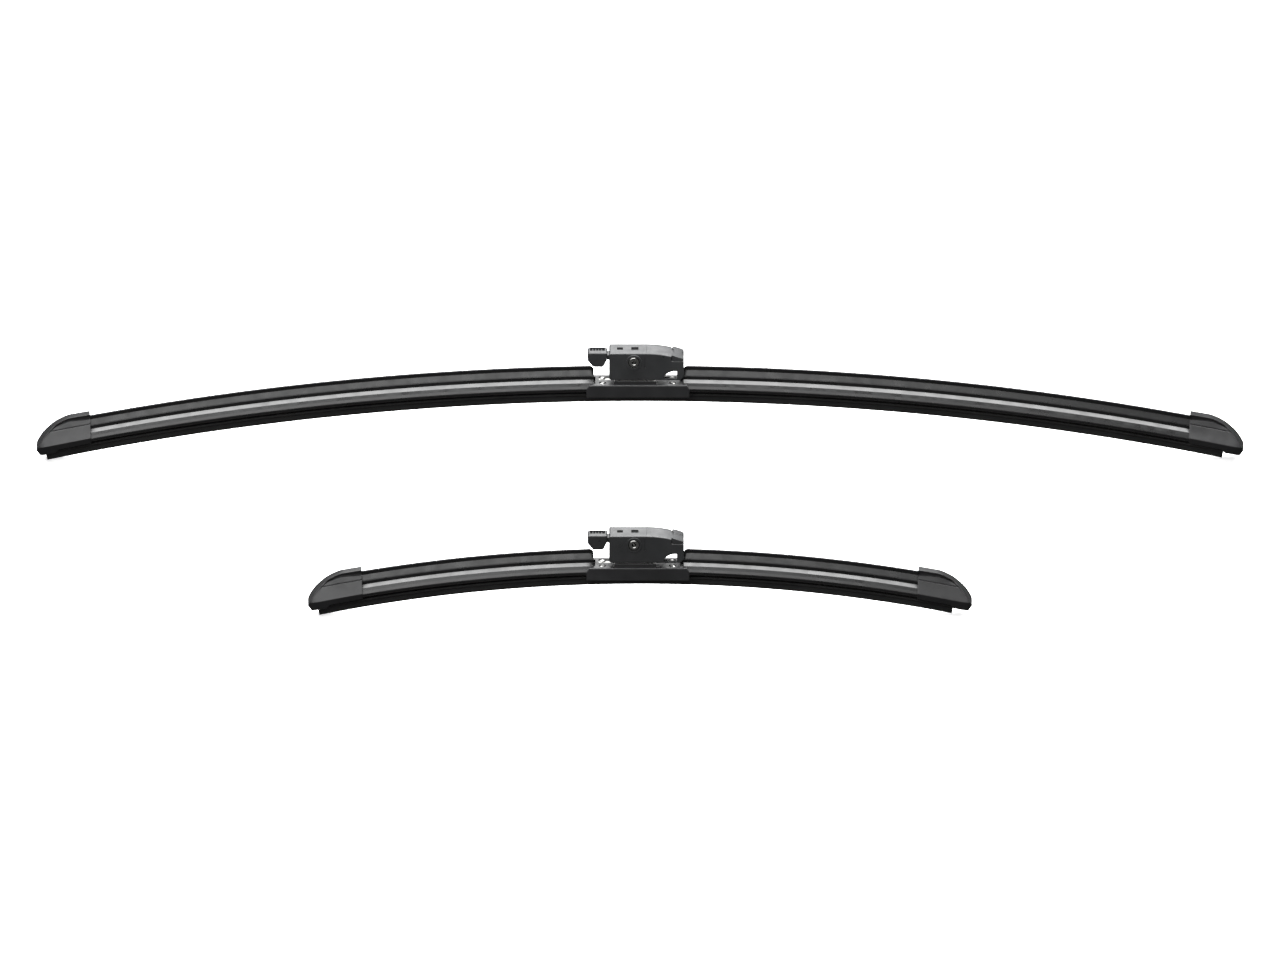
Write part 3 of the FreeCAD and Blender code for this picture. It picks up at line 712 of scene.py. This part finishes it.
def build_cover(b):
    yi = HOUSE_Y - WALL - 0.08
    pts = crown_line(COVER_PIN[0], 25.2) + list(reversed(crown_line(COVER_PIN[0], 25.2, 1.7)))
    obj = prism_y("flap", pts, -yi, yi, 0.2, 3)
    a0 = math.degrees(math.acos((TOP_Z - COVER_PIN[1]) / SEAM_R))
    arc = [(COVER_PIN[0] + SEAM_R * math.cos(t), COVER_PIN[1] + SEAM_R * math.sin(t)) for t in
           (math.radians(90 + a0 + (280 - a0) * i / 48) for i in range(49))]
    knuckle = arc + [(COVER_PIN[0] + 2.0, COVER_PIN[1] + 0.5), (COVER_PIN[0] + 0.1, TOP_Z)]
    knuckle = prism_y("knuckle", knuckle, -yi, yi, 0.15, 2)
    plan = [(18.9, -HOUSE_Y), (HOUSE_X1, -HOUSE_Y), (HOUSE_X1, -4.6), (24.5, -3.2), (24.5, 3.2),
            (HOUSE_X1, 4.6), (HOUSE_X1, HOUSE_Y), (18.9, HOUSE_Y), (18.9, 4.6), (19.8, 3.2), (19.8, -3.2),
            (18.9, -4.6)]
    grip = prism_z("grip", fillet(plan, 1.2, {1: 1.6, 6: 1.6}), 10.0, 24.0)
    rest = crown(GRIP_X, 2.6)
    view = crown_line(18.0, 26.0, -0.55) + [(26.0, rest), (18.0, rest)]
    combine(grip, [prism_y("slab", view, -9, 9)], "INTERSECT")
    ribs = [prism_y("rib", [(9.6, crown(9.6, 1.2)), (18.4, crown(18.4, 1.2)), (18.4, 15.0), (12.0, 16.6)],
                    y - 0.5, y + 0.5) for y in (-3.6, 3.6)]
    join(obj, knuckle, grip, *ribs)
    cut(obj, pin("bore", *COVER_PIN, COVER_PIN_R + 0.05, -9, 9, 0.0))
    finish_piece(obj, b, "lock_cover", "cover", ADAPTER_MAT, bevel=0.3)


def build_button(b):
    view = [(-27.2, 15.6), (-27.2, 20.2), (-16.4, 20.2), (-16.4, 16.6), (-18.6, 11.9), (-24.2, 11.9)]
    view = fillet(view, radii={0: 1.2, 1: 1.2, 2: 0.9, 3: 0.8, 4: 0.9, 5: 1.6})
    obj = prism_y("lug", view, -4.8, 4.8, 0.75)
    neck = fillet([(-3.4, 15.7), (3.4, 15.7), (3.4, 18.7), (-3.4, 18.7)], 0.5)
    neck = prism_x("neck", neck, -17.5, BUTTON_PIN[0])
    hub = pin("hub", *BUTTON_PIN, 1.6, -3.45, 3.45, 0.15)
    tail = fillet([(-13.2, 16.0), (-11.4, 16.6), (-10.6, 12.4), (-12.0, 11.6)], 0.3)
    tail = prism_y("tail", tail, -3.1, 3.1, 0.2)
    cut(obj, block("dish", -25.9, -17.7, -1.4, 3.8, 18.7, 21, 0.8, 0.0))
    join(obj, *[block("rib", x, x + 0.7, -1.83, 4.23, 18.03, 19.5, 0.0, 0.0)
                for x in (-24.7, -23.1, -21.5, -19.9)])
    join(obj, neck, hub, tail)
    cut(obj, pin("bore", *BUTTON_PIN, BUTTON_PIN_R + 0.05, -9, 9, 0.0))
    fan_sides(obj, 40)
    finish_piece(obj, b, "lock_button", "button", ADAPTER_MAT, bevel=0.12)


for blade in (LONG, SHORT):
    build_strips(blade)
    for side in (-1, 1):
        build_cap(blade, side)
    build_base(blade)
    build_holder(blade)
    build_pivot(blade)
    build_housing(blade)
    build_cover(blade)
    build_button(blade)

# ---- floor, light and camera --------------------------------------------------------------------
floor_z = (-LONG.lip_depth() - TOP_Z - 0.1) * 0.001
floor = make("floor", [(x, y, floor_z) for x, y in ((-8, -8), (8, -8), (8, 8), (-8, 8))], [(0, 1, 2, 3)])
fm = bpy.data.materials.new("floor")
fm.use_nodes = True
fp = fm.node_tree.nodes["Principled BSDF"]
fp.inputs["Base Color"].default_value = (0.93, 0.93, 0.93, 1)
fp.inputs["Roughness"].default_value = 0.9
fp.inputs["Specular IOR Level"].default_value = 0.1
fp.inputs["Emission Color"].default_value = (1, 1, 1, 1)
fp.inputs["Emission Strength"].default_value = 0.6
floor.data.materials.append(fm)
floor.visible_glossy = False
floor.visible_diffuse = False


def softbox(name, location, target, width, height, watts):
    light = bpy.data.lights.new(name, "AREA")
    light.shape, light.size, light.size_y, light.energy = "RECTANGLE", width, height, watts
    obj = bpy.data.objects.new(name, light)
    obj.location = location
    obj.rotation_euler = (Vector(target) - Vector(location)).to_track_quat("-Z", "Y").to_euler()
    obj.visible_camera = False
    bpy.context.collection.objects.link(obj)


CENTRE = (0.0, -0.12, -0.04)
softbox("overhead", (0.0, 0.15, 1.3), CENTRE, 2.8, 0.95, 120)
softbox("backdrop", (0.0, 1.4, 0.56), CENTRE, 0.6, 0.95, 4.6)
softbox("front", (-0.4, -1.65, 1.2), CENTRE, 1.8, 1.5, 36)
world = bpy.data.worlds.new("studio")
bpy.context.scene.world = world
world.use_nodes = True
world.node_tree.nodes["Background"].inputs["Color"].default_value = (1, 1, 1, 1)
world.node_tree.nodes["Background"].inputs["Strength"].default_value = 0.12
bpy.context.scene.view_settings.view_transform = "Standard"

cam_data = bpy.data.cameras.new("camera")
cam_data.type = "ORTHO"
cam_data.ortho_scale = 0.698
cam = bpy.data.objects.new("camera", cam_data)
bpy.context.collection.objects.link(cam)
bpy.context.scene.camera = cam
elevation = math.radians(20.0)
# the middle of the picture: so far in front of the long blade, and so far down the picture from its rails
FORWARD, DOWN = 120.0, 51.9
look_z = (FORWARD * math.sin(elevation) - DOWN) / math.cos(elevation)
look = Vector((BOW_X - SEAT_X, -FORWARD, look_z - TOP_Z)) * 0.001
back = Vector((0.0, -math.cos(elevation), math.sin(elevation)))
cam.location = look + back * 2.0
cam.rotation_mode = "QUATERNION"
cam.rotation_quaternion = (-back).to_track_quat("-Z", "Y")
cam_data.clip_start, cam_data.clip_end = 0.05, 20.0
